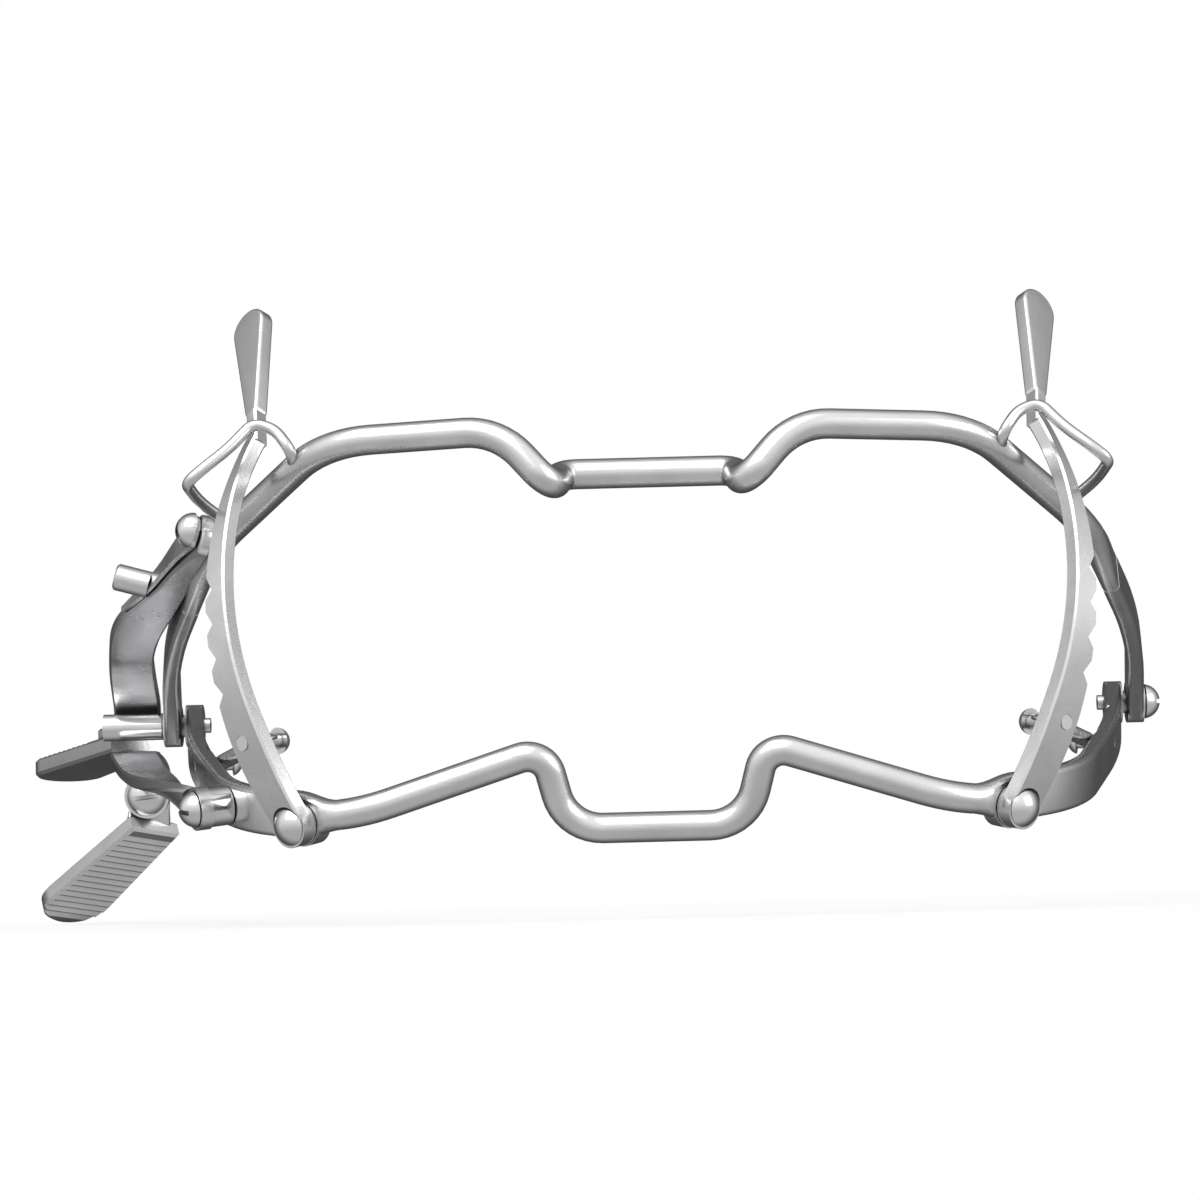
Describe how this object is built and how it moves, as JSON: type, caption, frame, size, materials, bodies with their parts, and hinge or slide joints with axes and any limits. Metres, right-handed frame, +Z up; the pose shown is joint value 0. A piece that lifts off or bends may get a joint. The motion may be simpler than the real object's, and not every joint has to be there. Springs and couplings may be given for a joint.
{
  "type": "mouth gag",
  "caption": "Surgical mouth gag of hinged wire bows with stepped tooth rests, notched side bars with finger tabs in wire loops, and a squeeze lever at one side.",
  "frame": {"origin": "middle of the lower tooth rest, on the rod's centre line", "axes": "+X to the right as seen from the front, +Y from the front of the mouth to the back where the hinge is, +Z up from the lower tooth rest to the upper one"},
  "size_m": [0.1547, 0.0943, 0.0761],
  "materials": {
    "satin_steel": "satin nickel over steel",
    "polished_steel": "polished",
    "spring_steel": "drawn spring wire"
  },
  "bodies": {
    "lower_frame": {"lower_bow": "satin_steel", "right_ratchet_rivet": "polished_steel", "left_ratchet_rivet": "polished_steel", "right_spring_post": "polished_steel", "left_spring_post": "polished_steel", "right_ratchet_spring": "spring_steel", "left_ratchet_spring": "spring_steel", "right_hinge_screw": "polished_steel", "left_hinge_pin": "polished_steel", "hinge_barrel": "polished_steel", "lower_lever": "satin_steel", "lower_lever_boss": "polished_steel", "lower_lever_screw": "polished_steel", "lower_finger_plate": "satin_steel", "lower_plate_screw": "polished_steel"},
    "upper_frame": {"upper_bow": "satin_steel", "left_guide_loop": "satin_steel", "right_guide_loop": "satin_steel", "upper_lever": "satin_steel", "upper_lever_backing": "satin_steel", "upper_lever_screw": "polished_steel", "stop_peg": "polished_steel", "upper_finger_plate": "satin_steel", "upper_plate_screw": "polished_steel"},
    "right_ratchet": {"right_ratchet_bar": "satin_steel", "right_ratchet_stud": "polished_steel"},
    "left_ratchet": {"left_ratchet_bar": "satin_steel", "left_ratchet_stud": "polished_steel"}
  },
  "joints": [
    {"name": "jaw_hinge", "type": "hinge", "parent": "lower_frame", "child": "upper_frame", "pos_m": [0, 0.06155, 0.01566], "axis": [1, 0, 0], "range_deg": [0, 26]},
    {"name": "right_ratchet_swing", "type": "hinge", "parent": "lower_frame", "child": "right_ratchet", "pos_m": [0.0412, 0.00206, 0.00167], "axis": [0.6388, -0.749, -0.1761], "range_deg": [0, 4], "stiffness_Nm_per_rad": 0.02, "springref_deg": -5.73},
    {"name": "left_ratchet_swing", "type": "hinge", "parent": "lower_frame", "child": "left_ratchet", "pos_m": [-0.0412, 0.00206, 0.00167], "axis": [0.6388, 0.749, 0.1761], "range_deg": [0, 4], "stiffness_Nm_per_rad": 0.02, "springref_deg": -5.73}
  ]
}
